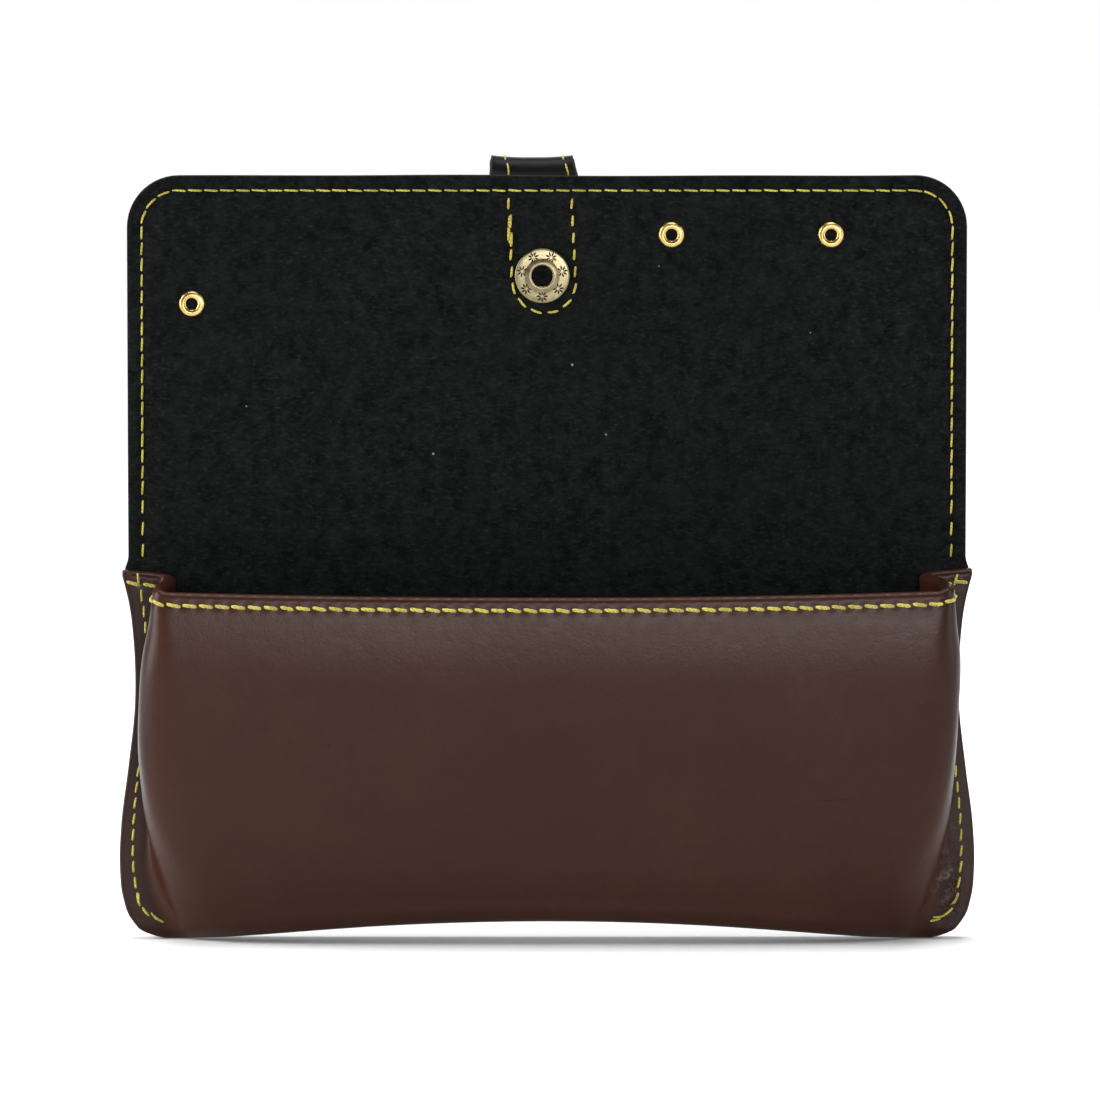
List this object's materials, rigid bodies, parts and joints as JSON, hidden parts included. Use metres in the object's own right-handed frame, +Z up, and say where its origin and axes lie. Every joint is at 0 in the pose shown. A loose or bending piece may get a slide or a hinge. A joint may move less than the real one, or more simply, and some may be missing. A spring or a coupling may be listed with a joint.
{
  "type": "eyeglasses case",
  "caption": "Soft leather glasses case with a felt-lined pocket, a fold-over flap with rivets, and a short strap at the flap's edge that folds back onto a ring snap.",
  "frame": {"origin": "middle of the case's box, on the surface that it stands on", "axes": "+X to the right seen from the pocket's front, +Y from the front to the back, +Z up along the raised flap"},
  "size_m": [0.1622, 0.0326, 0.149],
  "materials": {
    "brown_leather": "smooth semi-gloss dark brown leather",
    "black_leather": "smooth black leather",
    "black_felt": "matte black felt",
    "yellow_thread": "twisted yellow sewing thread",
    "bright_brass": "polished brass",
    "antique_brass": "antique brass, darkened in its hollows",
    "steel": "plated steel"
  },
  "bodies": {
    "pocket": {"pocket_leather": "brown_leather", "pocket_lining": "black_felt", "magnet": "steel", "side_thread_left": "yellow_thread", "side_thread_right": "yellow_thread", "hem_thread": "yellow_thread"},
    "spine": {"spine_leather": "brown_leather", "spine_lining": "black_felt", "spine_thread_left": "yellow_thread", "spine_thread_right": "yellow_thread"},
    "flap": {"flap_leather": "brown_leather", "flap_lining": "black_felt", "flap_thread": "yellow_thread", "strap_base_leather": "brown_leather", "strap_base_backing": "black_leather", "strap_seam_thread": "yellow_thread", "snap_eyelet": "antique_brass", "snap_stud": "antique_brass", "rivet_tube_1": "bright_brass", "rivet_cap_1": "bright_brass", "rivet_tube_2": "bright_brass", "rivet_cap_2": "bright_brass", "rivet_tube_3": "bright_brass", "rivet_cap_3": "bright_brass"},
    "strap": {"strap_fold_leather": "brown_leather", "strap_fold_backing": "black_leather", "strap_tip_leather": "brown_leather", "strap_tip_backing": "black_leather", "strap_tip_thread": "yellow_thread", "snap_socket": "antique_brass", "snap_spring": "steel", "snap_cap": "antique_brass"}
  },
  "joints": [
    {"name": "lower_fold", "type": "hinge", "parent": "pocket", "child": "spine", "pos_m": [0, 0.0061, 0.071], "axis": [1, 0, 0], "range_deg": [-15, 90]},
    {"name": "upper_fold", "type": "hinge", "parent": "spine", "child": "flap", "pos_m": [0, 0.0061, 0.098], "axis": [1, 0, 0], "range_deg": [-15, 90]},
    {"name": "strap_turn", "type": "hinge", "parent": "flap", "child": "strap", "pos_m": [-0.0009, 0.0117, 0.1456], "axis": [1, 0, 0], "range_deg": [0, 180], "deforming": ["strap_fold_leather", "strap_fold_backing"]}
  ],
  "couplings": [
    {"joint": "upper_fold", "follows": "lower_fold", "ratio": 1}
  ]
}
